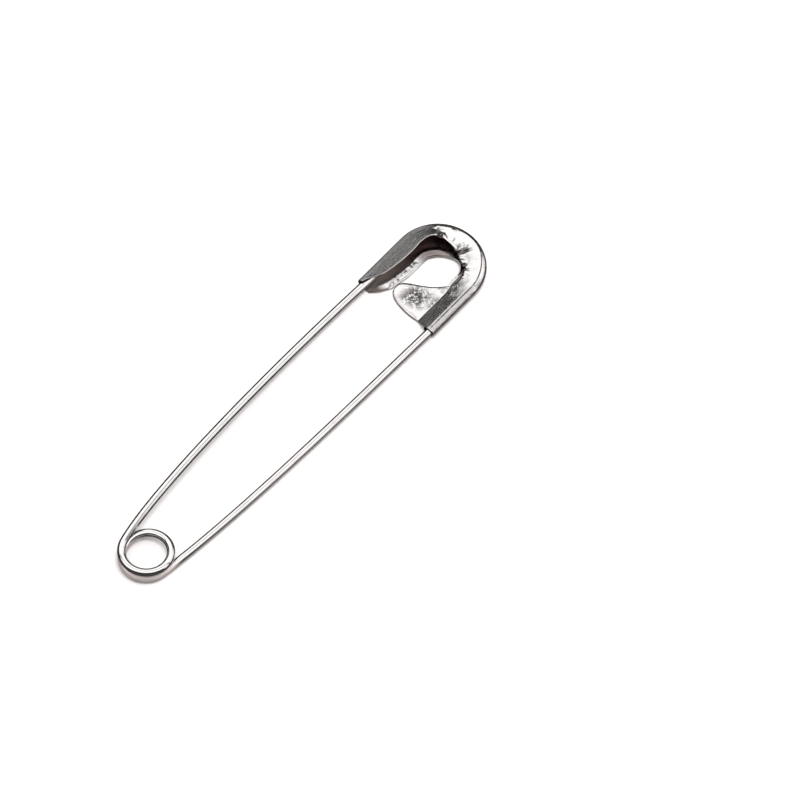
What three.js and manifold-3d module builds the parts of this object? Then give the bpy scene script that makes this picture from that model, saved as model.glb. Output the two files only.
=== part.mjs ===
// A large slim safety pin, closed: one bent wire and one folded sheet cap.
// Millimetres, +Z up. The pin lies on its back face, its coil at -X and its cap at +X.
// The wire is in four stretches, so that the pointed arm can move while the rest stays.

import * as THREE from "three";
import Module from "manifold-3d";

// Wire
const wireDiameter = 1.2;
const stretchGap = 0.12; // between two stretches of the wire that stay as they are
const pivotGap = 0.2; // between the short stretch that turns the bend over and the arm beyond it
const rootLength = 1.6; // that short stretch
const leadLength = 4.4; // the sprung arm's first, most bent length, which stays with the coil
const pointLength = 7; // ground part of the sprung arm
const pointDiameter = 0.16; // at the very tip
const pointTaperPower = 1.3; // above 1, the ground point is fullest where it starts

// Coil
const coilMeanRadius = 3.58;
const coilLayerGap = 0.48; // clear gap where the coil's two layers lie over each other

// Arms: the sprung one is bent in to its hook, so it leaves the coil steeply and straightens early
const sprungLeanDegrees = 14; // it leaves the coil this far outward of the pin's axis
const fixedLeanDegrees = 8.2; // and the fixed arm this far
const sprungEntryDegrees = -2.2; // at the cap the sprung arm leans this far outward
const fixedEntryDegrees = 1.5;
const sprungLeanShare = 0.2; // for this share of its length, the bow draws on the lean at the coil
const fixedLeanShare = 0.28;
const entryShare = 0.25; // and for this share on the lean at the cap

// Cap
const sheet = 0.25; // thickness of the sheet
const coilToArch = 64.5; // from the coil's middle to the middle of the cap's arch
const headRadius = 7.25; // outside of the arch, and half the cap's width
const hookLength = 9.8; // straight part of the hook
const crimpShorter = 0.3; // the straight part that grips the fixed arm ends this far before the hook does
const crimpSlant = 0.6; // the crimp's cut end falls back by this much from the fold to the crease
const hookClearance = 0.2; // round the sprung arm in the hook's fold
const gripClearance = 0.05; // round the fixed arm in the crimp
const lipLength = 0.45; // turned-up rim of the back leaf
const tongueUnder = 0.3; // the tongue's root runs on this far under the crimp's slope
const tongueCurl = 1.5; // over this length the tongue's corner curls up to the arch
const tongueTipGap = 0.12; // between the tongue's tip and the rim of the back leaf
const wireEndDegrees = 50; // the fixed arm's hidden end runs this far round the arch
const tipPastHook = 1.2; // the sharp tip lies this far past the straight part of the hook

// How far each leaf of the sheet reaches in from the outside, as shares of headRadius.
// The first number is the way along the cap: -1 end of hook, 0 and 1 ends of the arch, 2 end of crimp.
const frontReachShares = [
  [-1, 0.12], [-0.93, 0.155], [-0.86, 0.248], [-0.8, 0.317], [-0.7, 0.386], [-0.5, 0.441], [-0.3, 0.476],
  [-0.1, 0.483], [0.09, 0.448], [0.165, 0.414], [0.225, 0.396], [0.293, 0.411], [0.4, 0.477], [0.5, 0.517],
  [0.59, 0.552], [0.69, 0.56], [0.77, 0.521], [0.86, 0.48], [0.93, 0.475], [1.04, 0.475], [1.13, 0.49],
  [2, 0.49],
];
const backReachShares = [
  [-1, 0.303], [-0.97, 0.352], [-0.9, 0.455], [-0.8, 0.538], [-0.7, 0.593], [-0.58, 0.62], [-0.4, 0.662],
  [0, 0.676], [0.21, 0.717], [0.33, 0.717], [0.47, 0.686], [0.57, 0.637], [0.67, 0.575], [0.73, 0.555],
  [0.8, 0.561], [0.93, 0.61], [1.05, 0.618], [1.2, 0.58], [1.3, 0.58], [1.41, 0.607], [1.58, 0.63],
  [1.7, 0.586], [1.79, 0.469], [1.91, 0.345], [2, 0.262],
];
// Slope of the front leaf in degrees: it rises inward over the hook, and falls inward at the crimp.
const frontSlopeDegrees = [
  [-1, 23], [0.18, 23], [0.33, 14], [0.5, 4], [0.75, -3], [1, -10], [1.15, -18], [1.35, -27], [2, -27],
];
// How far the rim of the back leaf is turned up, in degrees.
const lipDegrees = [
  [-1, 5], [-0.9, 30], [-0.75, 75], [0.75, 75], [0.95, 5], [2, 5],
];
// The fold narrows from the hook's size to the crimp's between these places along the arch.
const foldNarrowShares = [0.2, 1];
// The guard tongue: how far in it is, as a share of its span from crease to tip,
// and its two edges behind the arch's middle, as shares of crimpLength.
const tongueShares = [
  [0, 0.937, 0.14], [0.1, 0.94, 0.16], [0.22, 0.942, 0.215], [0.35, 0.937, 0.3], [0.49, 0.924, 0.363],
  [0.65, 0.905, 0.426], [0.8, 0.868, 0.479], [0.89, 0.832, 0.521], [0.955, 0.795, 0.553], [1, 0.747, 0.6],
];

// Fineness
const wireSides = 12;
const coilStepDegrees = 15; // 24 steps to a turn
const archStepDegrees = 6;
const armSteps = 30;
const leadSteps = 4;
const straightSteps = 12;
const pointSteps = 5;
const foldSteps = 7;
const leafSteps = 5;
const tongueColumns = 8;

// Sizes that follow from those above
const wireRadius = wireDiameter / 2;
const crimpLength = hookLength - crimpShorter;
const hookFold = wireRadius + hookClearance + sheet;
const crimpFold = wireRadius + gripClearance + sheet;
// Each arm runs in the middle of its fold, as far from the back face as from the cap's outside.
const hookLine = headRadius - hookFold;
const crimpLine = headRadius - crimpFold;

// Colours as the photograph shows them: bright nickel plating on the wire, the same on the cap.
const plating = (color, roughness) => new THREE.MeshStandardMaterial({ color, roughness, metalness: 1 });
const wirePlating = () => plating(0xd9d8d8, 0.12);
const capPlating = () => plating(0xcfcece, 0.2);

const radians = THREE.MathUtils.degToRad;

// Value of a table of [place, value] pairs at one place, in straight lines between its rows.
function along(table, place) {
  const last = table.length - 1;
  if (place <= table[0][0]) return table[0][1];
  if (place >= table[last][0]) return table[last][1];
  const next = table.findIndex((row) => row[0] >= place);
  const [a, b] = [table[next - 1], table[next]];
  return THREE.MathUtils.lerp(a[1], b[1], (place - a[0]) / (b[0] - a[0]));
}

// A closed body through rings of points, all with as many points, capped at both ends.
function loft(rings) {
  const count = rings[0].length;
  const points = rings.flat();
  const faces = [];
  for (let i = 0; i + 1 < rings.length; i += 1) {
    for (let j = 0; j < count; j += 1) {
      const k = (j + 1) % count;
      const [a, b, c, d] = [i * count + j, i * count + k, (i + 1) * count + k, (i + 1) * count + j];
      faces.push(a, b, c, a, c, d);
    }
  }
  return { points, faces, count };
}

function toGeometry({ points, faces }) {
  const geometry = new THREE.BufferGeometry().setFromPoints(points);
  geometry.setIndex(signedVolume(points, faces) < 0 ? flipped(faces) : faces);
  geometry.computeVertexNormals();
  return geometry;
}

function flipped(faces) {
  const out = [];
  for (let i = 0; i < faces.length; i += 3) out.push(faces[i], faces[i + 2], faces[i + 1]);
  return out;
}

function signedVolume(points, faces) {
  let sum = 0;
  for (let i = 0; i < faces.length; i += 3) {
    const [a, b, c] = [points[faces[i]], points[faces[i + 1]], points[faces[i + 2]]];
    sum += a.dot(new THREE.Vector3().crossVectors(b, c)) / 6;
  }
  return sum;
}

// Round wire along a list of points. radiusAt gives the radius at each point.
function wireAlong(line, radiusAt = () => wireRadius) {
  const rings = [];
  let side = new THREE.Vector3(0, 0, 1);
  line.forEach((point, i) => {
    const before = line[Math.max(i - 1, 0)];
    const after = line[Math.min(i + 1, line.length - 1)];
    const ahead = after.clone().sub(before).normalize();
    side = side.sub(ahead.clone().multiplyScalar(side.dot(ahead))).normalize();
    const across = new THREE.Vector3().crossVectors(ahead, side);
    const ring = [];
    for (let j = 0; j < wireSides; j += 1) {
      const turn = (2 * Math.PI * j) / wireSides;
      const out = side.clone().multiplyScalar(Math.cos(turn)).addScaledVector(across, Math.sin(turn));
      ring.push(point.clone().addScaledVector(out, radiusAt(i)));
    }
    rings.push(ring);
  });
  const body = loft(rings);
  const first = body.points.push(line[0].clone()) - 1;
  const last = body.points.push(line[line.length - 1].clone()) - 1;
  const start = (line.length - 1) * wireSides;
  for (let j = 0; j < wireSides; j += 1) {
    const k = (j + 1) % wireSides;
    body.faces.push(first, k, j, last, start + j, start + k);
  }
  return toGeometry(body);
}

// The coil, from the sprung arm down to the fixed arm: a turn and a half, less the arms' leans.
// It leaves both arms level, and falls between.
const coilTurn = 360 + 180 - sprungLeanDegrees - fixedLeanDegrees;
const levelled = (share) => share - Math.sin(2 * Math.PI * share) / (2 * Math.PI);
const coilDrop = (wireDiameter + coilLayerGap) / levelled(360 / coilTurn);
const coilPoint = (share) => {
  const turn = radians(90 + sprungLeanDegrees + coilTurn * share);
  return new THREE.Vector3(
    coilMeanRadius * Math.cos(turn),
    coilMeanRadius * Math.sin(turn),
    wireRadius + coilDrop * (1 - levelled(share)),
  );
};
const coilSteps = Math.round(coilTurn / coilStepDegrees);
const coilLine = Array.from({ length: coilSteps + 1 }, (_, i) => coilPoint(i / coilSteps));

// Least gap between parts of the coil's wire that are more than half a turn apart.
function leastCoilGap() {
  const apart = Math.round(180 / coilStepDegrees);
  let least = Infinity;
  coilLine.forEach((a, i) => {
    coilLine.slice(i + apart).forEach((b) => {
      least = Math.min(least, a.distanceTo(b) - wireDiameter);
    });
  });
  return least;
}

// One arm's line between the coil and the cap: it leaves along the coil's tangent, level, and
// comes level into the cap.
function armCurve(coilEnd, side, capEnd, leans, leanShare) {
  const length = capEnd.x - coilEnd.x;
  const handle = (lean, share) => {
    const run = length * share;
    return new THREE.Vector3(run, side * run * Math.tan(radians(lean)), 0);
  };
  return new THREE.CubicBezierCurve3(
    coilEnd,
    coilEnd.clone().add(handle(leans[0], leanShare)),
    capEnd.clone().sub(handle(leans[1], entryShare)),
    capEnd,
  );
}
const hookEntry = new THREE.Vector3(coilToArch - hookLength, hookLine, hookFold);
const crimpEntry = new THREE.Vector3(coilToArch - crimpLength, -crimpLine, crimpFold);
const sprungCurve = armCurve(
  coilPoint(0), 1, hookEntry, [sprungLeanDegrees, sprungEntryDegrees], sprungLeanShare,
);
const fixedCurve = armCurve(
  coilPoint(1), -1, crimpEntry, [fixedLeanDegrees, fixedEntryDegrees], fixedLeanShare,
);

// Points of a curve between two lengths along it.
function stretch(curve, from, to, steps) {
  const whole = curve.getLength();
  // Rounding may take the last share just past 1, where the curve has no point.
  const at = (i) => curve.getPointAt(Math.min((from + ((to - from) * i) / steps) / whole, 1));
  return Array.from({ length: steps + 1 }, (_, i) => at(i));
}

function fixedArmLine() {
  const line = stretch(fixedCurve, stretchGap, fixedCurve.getLength(), armSteps);
  line.push(new THREE.Vector3(coilToArch, -crimpLine, crimpFold));
  for (let turn = archStepDegrees; turn < wireEndDegrees; turn += archStepDegrees) {
    const a = radians(turn);
    line.push(new THREE.Vector3(coilToArch + crimpLine * Math.sin(a), -crimpLine * Math.cos(a), crimpFold));
  }
  return line;
}

// The coil's stretch runs on into the sprung arm's most bent length.
function springCoilLine() {
  return [...stretch(sprungCurve, 0, leadLength, leadSteps).reverse(), ...coilLine.slice(1)];
}

// The pivot lies in the gap between the arm's root and the arm that moves. The arm sweeps about the
// line from there through the middle of its own ground point, which turns inside the hook.
const rootStart = leadLength + stretchGap;
const pivotLength = rootStart + rootLength + pivotGap / 2;
const pivot = sprungCurve.getPointAt(pivotLength / sprungCurve.getLength());
const pointMiddle = new THREE.Vector3(coilToArch + tipPastHook - pointLength / 2, hookLine, hookFold);

function pinArmLine() {
  const line = stretch(sprungCurve, pivotLength + pivotGap / 2, sprungCurve.getLength(), armSteps);
  const tip = coilToArch + tipPastHook;
  for (let i = 0; i <= pointSteps; i += 1) {
    line.push(new THREE.Vector3(tip - pointLength * (1 - i / pointSteps), hookLine, hookFold));
  }
  return line;
}

// Radius of the sprung arm: full up to the ground point, then drawn in to the tip.
function pinArmRadius(i, count) {
  const ground = Math.max(0, i - (count - 1 - pointSteps)) / pointSteps;
  return THREE.MathUtils.lerp(wireRadius, pointDiameter / 2, ground ** pointTaperPower);
}

// A place on the cap: way along it, reach in from its outside, height, and how much shorter
// the crimp is there.
function onCap(way, reach, height, fall) {
  const radius = headRadius - reach;
  if (way < 0) return new THREE.Vector3(coilToArch + way * hookLength, radius, height);
  if (way > 1) return new THREE.Vector3(coilToArch - (way - 1) * (crimpLength - fall), -radius, height);
  const turn = Math.PI * way;
  return new THREE.Vector3(coilToArch + radius * Math.sin(turn), radius * Math.cos(turn), height);
}

// Half height of the fold at one way: wide in the hook, tight on the wire in the crimp.
function foldAt(way) {
  return THREE.MathUtils.lerp(hookFold, crimpFold, THREE.MathUtils.smoothstep(way, ...foldNarrowShares));
}

// The front leaf's outer face in section, from its edge to the outside of the fold, in
// [reach, height, fall].
function frontLeaf(way) {
  const fold = foldAt(way);
  const slope = radians(along(frontSlopeDegrees, way));
  const edge = along(frontReachShares, way) * headRadius;
  const round = Math.PI / 2 - slope;
  const shoulder = [fold * (1 - Math.cos(round)), fold * (1 + Math.sin(round))];
  const section = [];
  for (let i = 0; i < leafSteps; i += 1) {
    const share = 1 - i / leafSteps;
    const reach = THREE.MathUtils.lerp(shoulder[0], edge, share);
    section.push([reach, shoulder[1] + (reach - shoulder[0]) * Math.tan(slope), crimpSlant * share]);
  }
  for (let i = 0; i < foldSteps; i += 1) {
    const turn = round * (1 - i / foldSteps);
    section.push([fold * (1 - Math.cos(turn)), fold * (1 + Math.sin(turn)), 0]);
  }
  return section;
}

// The back leaf's outer face, from the outside of the fold to the turned-up rim.
function backLeaf(way) {
  const fold = foldAt(way);
  const edge = along(backReachShares, way) * headRadius;
  const lip = radians(along(lipDegrees, way));
  const corner = edge - lipLength * Math.cos(lip);
  const section = [];
  for (let i = 0; i < foldSteps; i += 1) {
    const turn = (Math.PI / 2) * (i / foldSteps);
    section.push([fold * (1 - Math.cos(turn)), fold * (1 - Math.sin(turn)), 0]);
  }
  for (let i = 0; i <= leafSteps; i += 1) {
    section.push([THREE.MathUtils.lerp(fold, corner, i / leafSteps), 0, 0]);
  }
  section.push([edge, lipLength * Math.sin(lip), 0]);
  return section;
}

// The sheet in section: along its outer face, and back along its inner face, one thickness inside.
function sheetSection(way) {
  const outer = [...frontLeaf(way), ...backLeaf(way)];
  const inner = outer.map(([reach, height, fall], i) => {
    const before = outer[Math.max(i - 1, 0)];
    const after = outer[Math.min(i + 1, outer.length - 1)];
    const run = new THREE.Vector2(after[0] - before[0], after[1] - before[1]).normalize();
    return [reach - run.y * sheet, height + run.x * sheet, fall];
  });
  return [...outer, ...inner.reverse()];
}

// A closed plate through rings that each run along one face and back along the other.
function plate(rings) {
  const body = loft(rings);
  const start = (rings.length - 1) * body.count;
  for (let j = 0; j + 1 < body.count / 2; j += 1) {
    const far = body.count - 1 - j;
    body.faces.push(j, far - 1, j + 1, j, far, far - 1);
    body.faces.push(start + j, start + j + 1, start + far - 1, start + j, start + far - 1, start + far);
  }
  return body;
}

// The cap but for its tongue: hook, arch and crimp in one folded strip.
function channelBody() {
  const ways = [];
  for (let i = 0; i < straightSteps; i += 1) ways.push(-1 + i / straightSteps);
  const archSteps = Math.round(180 / archStepDegrees);
  for (let i = 0; i < archSteps; i += 1) ways.push(i / archSteps);
  for (let i = 0; i <= straightSteps; i += 1) ways.push(1 + i / straightSteps);
  return plate(ways.map((way) => sheetSection(way).map((point) => onCap(way, ...point))));
}

// Height of the front leaf's edge at the crease, by the distance behind the arch's middle.
function creaseHeight(behind) {
  return frontLeaf(1 + behind / crimpLength)[0][1];
}

// The guard tongue: a plate from the crease across the window to the back leaf's rim at the hook.
function tongueBody() {
  const flat = creaseHeight(crimpLength);
  const creaseReach = along(frontReachShares, 2) * headRadius;
  const rootLine = -(headRadius - creaseReach + tongueUnder);
  const tipShares = tongueShares[tongueShares.length - 1].slice(1);
  const rims = tipShares.map((share) => along(backReachShares, (-share * crimpLength) / hookLength));
  const tipLine = headRadius - Math.max(...rims) * headRadius - tongueTipGap;
  const rings = tongueShares.map(([share, farShare, nearShare]) => {
    const line = THREE.MathUtils.lerp(rootLine, tipLine, share);
    const top = [];
    for (let j = 0; j <= tongueColumns; j += 1) {
      const behind = crimpLength * THREE.MathUtils.lerp(farShare, nearShare, j / tongueColumns);
      const fade = 1 - THREE.MathUtils.smoothstep(line - rootLine, 0, tongueCurl);
      const height = THREE.MathUtils.lerp(flat, creaseHeight(behind), fade);
      top.push(new THREE.Vector3(coilToArch - behind, line, height));
    }
    const under = top.map((point) => point.clone().setZ(point.z - sheet));
    return [...top, ...under.reverse()];
  });
  return plate(rings);
}

const wasm = await Module();
wasm.setup();

function toSolid(body) {
  const geometry = toGeometry(body);
  return new wasm.Manifold(new wasm.Mesh({
    numProp: 3,
    vertProperties: new Float32Array(geometry.attributes.position.array),
    triVerts: new Uint32Array(geometry.index.array),
  }));
}

function fromSolid(solid) {
  const mesh = solid.getMesh();
  const geometry = new THREE.BufferGeometry();
  geometry.setAttribute("position", new THREE.BufferAttribute(new Float32Array(mesh.vertProperties), 3));
  geometry.setIndex(new THREE.BufferAttribute(new Uint32Array(mesh.triVerts), 1));
  geometry.computeVertexNormals();
  return geometry;
}

function named(name, geometry, material) {
  const mesh = new THREE.Mesh(geometry, material);
  mesh.name = name;
  return mesh;
}

const armLine = pinArmLine();
const pin = new THREE.Group();
pin.add(
  named("cap", fromSolid(toSolid(channelBody()).add(toSolid(tongueBody()))), capPlating()),
  named("fixed_arm", wireAlong(fixedArmLine()), wirePlating()),
  named("spring_coil", wireAlong(springCoilLine()), wirePlating()),
  named("arm_root", wireAlong(stretch(sprungCurve, rootStart, rootStart + rootLength, 2)), wirePlating()),
  named("pin_arm", wireAlong(armLine, (i) => pinArmRadius(i, armLine.length)), wirePlating()),
);

// The origin is under the middle of the pin, on the surface that it lies on.
const box = new THREE.Box3().setFromObject(pin);
const middle = box.getCenter(new THREE.Vector3());
pin.position.set(-middle.x, -middle.y, -box.min.z);

const placed = (point) => point.clone().add(pin.position).toArray().map((v) => +v.toFixed(3));
console.log("size", box.getSize(new THREE.Vector3()).toArray().map((v) => +v.toFixed(3)));
console.log("least gap of the coil to itself", +leastCoilGap().toFixed(3));
console.log("pivot", placed(pivot), "middle of the ground point", placed(pointMiddle));
console.log("coil middle", placed(new THREE.Vector3()));
console.log("arch middle", placed(new THREE.Vector3(coilToArch, 0, 0)));

export default pin;
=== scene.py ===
# A large slim safety pin, closed, on a pale table: bright nickel-plated wire and a pressed sheet cap.
# Sizes are in millimetres where they are named, and turned into metres as a mesh is made.

import math
import bpy
import numpy as np
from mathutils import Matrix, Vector


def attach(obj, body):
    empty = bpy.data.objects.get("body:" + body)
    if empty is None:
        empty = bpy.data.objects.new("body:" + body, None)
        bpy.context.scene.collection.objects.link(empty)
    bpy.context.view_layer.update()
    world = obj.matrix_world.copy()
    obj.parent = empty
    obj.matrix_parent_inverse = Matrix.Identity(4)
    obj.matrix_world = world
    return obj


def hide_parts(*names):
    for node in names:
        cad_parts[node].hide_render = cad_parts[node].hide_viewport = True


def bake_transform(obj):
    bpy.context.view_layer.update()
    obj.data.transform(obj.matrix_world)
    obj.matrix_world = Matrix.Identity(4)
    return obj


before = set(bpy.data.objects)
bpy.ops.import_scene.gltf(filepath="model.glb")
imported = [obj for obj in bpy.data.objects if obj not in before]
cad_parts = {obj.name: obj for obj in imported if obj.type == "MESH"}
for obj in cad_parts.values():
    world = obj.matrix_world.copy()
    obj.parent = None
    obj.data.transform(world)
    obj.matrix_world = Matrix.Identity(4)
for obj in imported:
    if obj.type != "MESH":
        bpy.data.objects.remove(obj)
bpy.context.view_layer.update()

MM = 0.001

# Wire
WIRE_RADIUS = 0.6
WIRE_SIDES = 40
ROOT_LENGTH = 1.6
LEAD_LENGTH = 4.4  # the sprung arm's first, most bent length, which stays with the coil
STRETCH_GAP = 0.12
PIVOT_GAP = 0.2
POINT_LENGTH = 7.0
POINT_RADIUS = 0.08
POINT_TAPER_POWER = 1.3
TURN_LENGTH = 0.8  # the root's points are packed closer over this length before the pivot
BEND_LENGTH = 9.0  # the bend at the pivot is spread over this length, half on each side of it

# How many points its line has
COIL_POINTS = 133
FIXED_ARM_POINTS = 72
LEAD_POINTS = 13
ROOT_POINTS = 7
TURN_POINTS = 25
BEND_POINTS = 24
ARM_POINTS = 50
GROUND_POINTS = 15

# Coil
COIL_MEAN_RADIUS = 3.58
COIL_LAYER_GAP = 0.48
COIL_MIDDLE_X = -33.786

# Arms: how far outward each leans at the coil and at the cap, and the share of its length over which
# its bow draws on each lean
SPRUNG_LEANS = (math.radians(14), math.radians(-2.2))
FIXED_LEANS = (math.radians(8.2), math.radians(1.5))
SPRUNG_LEAN_SHARE = 0.2
FIXED_LEAN_SHARE = 0.28
ENTRY_SHARE = 0.25

# Cap
SHEET = 0.25
COIL_TO_ARCH = 64.5
HEAD_RADIUS = 7.25
HOOK_LENGTH = 9.8
CRIMP_LENGTH = 9.5
CRIMP_SLANT = 0.6
HOOK_CLEARANCE = 0.2
GRIP_CLEARANCE = 0.05
LIP_LENGTH = 0.45
TIP_PAST_HOOK = 1.2
WIRE_END_DEGREES = 48
WIRE_END_STEP = 4
TONGUE_TIP_GAP = 0.12
TONGUE_CURL = 1.5

HOOK_FOLD = WIRE_RADIUS + HOOK_CLEARANCE + SHEET
CRIMP_FOLD = WIRE_RADIUS + GRIP_CLEARANCE + SHEET
HOOK_LINE = HEAD_RADIUS - HOOK_FOLD
CRIMP_LINE = HEAD_RADIUS - CRIMP_FOLD

# How far each leaf of the sheet reaches in from the outside, as shares of the head's radius.
# The first number is the way along the cap: -1 end of hook, 0 and 1 ends of the arch, 2 end of crimp.
FRONT_REACH_SHARES = [
    [-1, 0.12], [-0.93, 0.155], [-0.86, 0.248], [-0.8, 0.317], [-0.7, 0.386], [-0.5, 0.441], [-0.3, 0.476],
    [-0.1, 0.483], [0.09, 0.448], [0.165, 0.414], [0.225, 0.396], [0.293, 0.411], [0.4, 0.477], [0.5, 0.517],
    [0.59, 0.552], [0.69, 0.56], [0.77, 0.521], [0.86, 0.48], [0.93, 0.475], [1.04, 0.475], [1.13, 0.49],
    [2, 0.49],
]
BACK_REACH_SHARES = [
    [-1, 0.303], [-0.97, 0.352], [-0.9, 0.455], [-0.8, 0.538], [-0.7, 0.593], [-0.58, 0.62], [-0.4, 0.662],
    [0, 0.676], [0.21, 0.717], [0.33, 0.717], [0.47, 0.686], [0.57, 0.637], [0.67, 0.575], [0.73, 0.555],
    [0.8, 0.561], [0.93, 0.61], [1.05, 0.618], [1.2, 0.58], [1.3, 0.58], [1.41, 0.607], [1.58, 0.63],
    [1.7, 0.586], [1.79, 0.469], [1.91, 0.345], [2, 0.262],
]
FRONT_SLOPE_DEGREES = [
    [-1, 23], [0.18, 23], [0.33, 14], [0.5, 4], [0.75, -3], [1, -10], [1.15, -18], [1.35, -27], [2, -27],
]
LIP_DEGREES = [
    [-1, 5], [-0.9, 30], [-0.75, 75], [0.75, 75], [0.95, 5], [2, 5],
]
# The guard tongue: share of its span from crease to tip, then its two edges behind the arch's middle,
# as shares of the crimp's length.
TONGUE_SHARES = [
    [0, 0.937, 0.14], [0.1, 0.94, 0.16], [0.22, 0.942, 0.215], [0.35, 0.937, 0.3], [0.49, 0.924, 0.363],
    [0.65, 0.905, 0.426], [0.8, 0.868, 0.479], [0.89, 0.832, 0.521], [0.955, 0.795, 0.553], [1, 0.747, 0.6],
]

# The back leaf's rim on the hook's side: a raised bead that falls towards the window.
BEAD_HEIGHT = 0.42
BEAD_FALL = 0.3
BEAD_TOP = 1.15
BEAD_FOOT = 1.75
BEAD_GROOVE = 0.07  # the line pressed in beside its rim
BEAD_GROOVE_IN = 0.3
BEAD_GROOVE_HALF_WIDTH = 0.09
BEAD_FALL_POWER = 1.2
BEAD_START_SHARE = 0.3  # it starts at least this far in from the fold
LIP_TURN_SHARE = 0.85
BEAD_SHARES = [[-1, 0], [-0.86, 0.05], [-0.72, 1], [0.0, 1], [0.2, 0.7], [0.42, 0.15], [0.6, 0], [2, 0]]
BEAD_BRIGHT_SHARES = [[-1, 0], [-0.86, 0.05], [-0.72, 1], [-0.16, 1], [0.0, 0.3], [0.2, 0.08], [2, 0.05]]
RIM_BRIGHT_SHARES = [[-1, 0], [0.5, 0], [0.68, 0.85], [2, 0.85]]
# The front leaf's inner edge rolls down over the window where the arch meets the crimp.
EDGE_CURL_DROP = 0.36
EDGE_CURL_LENGTH = 0.55
EDGE_CURL_SHARES = [[-1, 0], [0.3, 0], [0.42, 0.5], [0.6, 1], [0.95, 1], [1.06, 0.6], [1.14, 0], [2, 0]]
# All along its inner edge the front leaf is rolled over a little.
EDGE_ROLL_DROP = 0.065
EDGE_ROLL_LENGTH = 0.17
# Between these ways the wider fold of the hook narrows to the crimp's.
FOLD_CHANGE_WAYS = (0.2, 1.0)

# How the sheet's mesh is divided
FRONT_LEAF_ROWS = 18
FRONT_FOLD_ROWS = 10
FRONT_ROWS = FRONT_LEAF_ROWS + FRONT_FOLD_ROWS
BACK_FOLD_ROWS = 5
BACK_LEAF_ROWS = 4
RIM_ROWS = 17
BEAD_FIRST_ROW = FRONT_ROWS + 7
FRONT_ROW_POWER = 1.5  # draws the rows together at the front leaf's inner edge
RIM_ROW_POWER = 0.8
HOOK_COLUMNS = 50
ARCH_COLUMNS = 100
BEFORE_TONGUE_COLUMNS = 7
TONGUE_COLUMNS = 40
TONGUE_ROWS = 36
TONGUE_NEAR_WAY = 1 + TONGUE_SHARES[0][2] * CRIMP_LENGTH / (CRIMP_LENGTH - CRIMP_SLANT)

# Camera of the photograph: straight lines to the pin's middle from 60 degrees above the table
LOOK_AT = Vector((0.010134, -0.010349, 0.0))
CAMERA_WAY = Vector((-0.37828, -0.32696, 0.86603))
CAMERA_DISTANCE = 0.8388
CAMERA_VIEW_DEGREES = 8.0
SENSOR_WIDTH = 36
CAMERA_CLIP = (0.01, 20)  # metres


def smooth_along(table, places):
    """Values of a table at many places, on a smooth curve through its rows that never overshoots."""
    rows = np.array(table, float)
    x, y = rows[:, 0], rows[:, 1]
    step = np.diff(x)
    rise = np.diff(y) / step
    slope = np.zeros_like(y)
    for i in range(1, len(x) - 1):
        if rise[i - 1] * rise[i] > 0:
            a = 2 * step[i] + step[i - 1]
            b = step[i] + 2 * step[i - 1]
            slope[i] = (a + b) / (a / rise[i - 1] + b / rise[i])
    slope[0], slope[-1] = rise[0], rise[-1]
    at = np.clip(np.asarray(places, float), x[0], x[-1])
    i = np.clip(np.searchsorted(x, at, side="right") - 1, 0, len(step) - 1)
    t = (at - x[i]) / step[i]
    left = y[i] * (1 + 2 * t) * (1 - t) ** 2 + slope[i] * step[i] * t * (1 - t) ** 2
    right = y[i + 1] * t * t * (3 - 2 * t) + slope[i + 1] * step[i] * t * t * (t - 1)
    return left + right


def smoothstep(x, low, high):
    t = np.clip((x - low) / (high - low), 0, 1)
    return t * t * (3 - 2 * t)


def in_row_frame(points):
    """Points in millimetres, measured from the coil's middle, as metres in the row's frame."""
    return (np.asarray(points, float) + (COIL_MIDDLE_X, 0, 0)) * MM


# The wire's lines

COIL_TURN = math.radians(540) - SPRUNG_LEANS[0] - FIXED_LEANS[0]


def levelled(share):
    return share - np.sin(2 * np.pi * share) / (2 * np.pi)


COIL_DROP = (2 * WIRE_RADIUS + COIL_LAYER_GAP) / levelled(2 * math.pi / COIL_TURN)


def coil_points(share):
    """Places on the coil, from the sprung arm at 0 down to the fixed arm at 1."""
    share = np.atleast_1d(share)
    turn = math.pi / 2 + SPRUNG_LEANS[0] + COIL_TURN * share
    height = WIRE_RADIUS + COIL_DROP * (1 - levelled(share))
    return np.stack([COIL_MEAN_RADIUS * np.cos(turn), COIL_MEAN_RADIUS * np.sin(turn), height], axis=1)


class ArmCurve:
    """The curve of one arm from the coil's tangent to the cap, measured by length along it."""

    def __init__(self, coil_end, side, cap_end, leans, lean_share):
        cap_end = np.array(cap_end)
        length = cap_end[0] - coil_end[0]
        leave = length * lean_share * np.array([1, side * math.tan(leans[0]), 0])
        enter = length * ENTRY_SHARE * np.array([1, side * math.tan(leans[1]), 0])
        t = np.linspace(0, 1, 2001)[:, None]
        self.points = (coil_end * (1 - t) ** 3 + 3 * (coil_end + leave) * t * (1 - t) ** 2
                       + 3 * (cap_end - enter) * t * t * (1 - t) + cap_end * t ** 3)
        self.lengths = np.concatenate([[0], np.cumsum(np.linalg.norm(np.diff(self.points, axis=0), axis=1))])
        self.length = self.lengths[-1]

    def at(self, lengths):
        return np.stack([np.interp(lengths, self.lengths, self.points[:, k]) for k in range(3)], axis=1)


hook_entry = (COIL_TO_ARCH - HOOK_LENGTH, HOOK_LINE, HOOK_FOLD)
crimp_entry = (COIL_TO_ARCH - CRIMP_LENGTH, -CRIMP_LINE, CRIMP_FOLD)
sprung_arm = ArmCurve(coil_points(0)[0], 1, hook_entry, SPRUNG_LEANS, SPRUNG_LEAN_SHARE)
fixed_arm = ArmCurve(coil_points(1)[0], -1, crimp_entry, FIXED_LEANS, FIXED_LEAN_SHARE)
PIVOT_AT = LEAD_LENGTH + STRETCH_GAP + ROOT_LENGTH + PIVOT_GAP / 2


# Node tree helpers

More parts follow.
